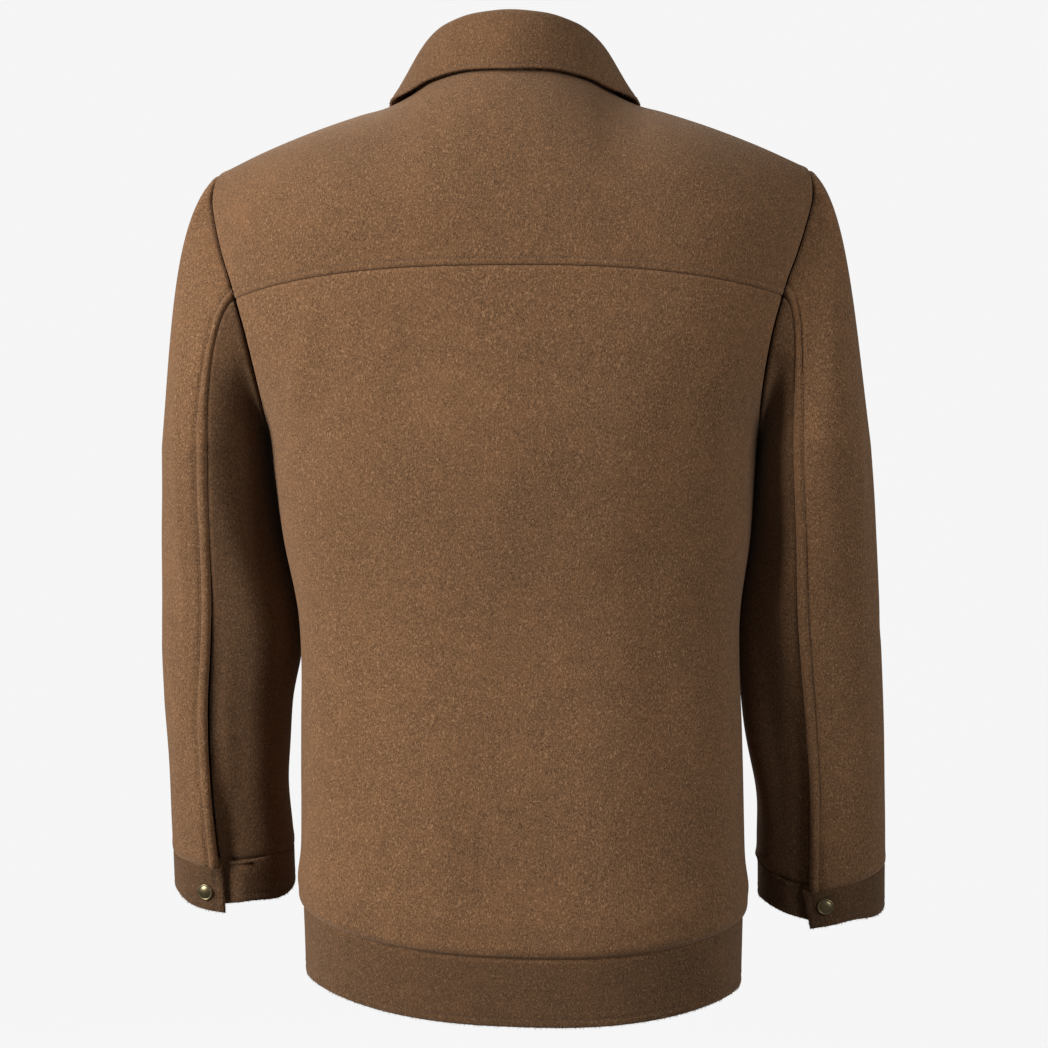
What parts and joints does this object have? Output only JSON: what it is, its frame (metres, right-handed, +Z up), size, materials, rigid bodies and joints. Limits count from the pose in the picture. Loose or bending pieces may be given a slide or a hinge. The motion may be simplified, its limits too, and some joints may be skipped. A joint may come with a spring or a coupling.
{
  "type": "utility jacket",
  "caption": "Short brown wool jacket with a pointed collar, back yoke, hem band and cuffs, filled out as if worn, hollow inside",
  "frame": {"origin": "between the two points where the neck seam crosses the shoulders, where the wearer's shoulders hold the jacket up", "axes": "+Z up, the front faces -Y, the back faces +Y, the wearer's left is +X"},
  "size_m": [0.5929, 0.2542, 0.7812],
  "materials": {
    "wool": "milled brown melange wool, soft low nap",
    "stud_metal": "antique brass, brushed and darkened"
  },
  "bodies": {
    "root": {"back_yoke": "wool", "back_panel": "wool", "front_left": "wool", "front_right": "wool", "collar_stand": "wool", "collar_fall": "wool", "hem_band": "wool", "sleeve_left_upper": "wool", "sleeve_left_under": "wool", "cuff_left": "wool", "sleeve_right_upper": "wool", "sleeve_right_under": "wool", "cuff_right": "wool", "front_stud_1": "stud_metal", "front_stud_2": "stud_metal", "front_stud_3": "stud_metal", "front_stud_4": "stud_metal", "front_stud_5": "stud_metal", "band_stud": "stud_metal", "cuff_stud_left": "stud_metal", "cuff_stud_right": "stud_metal"}
  },
  "joints": []
}
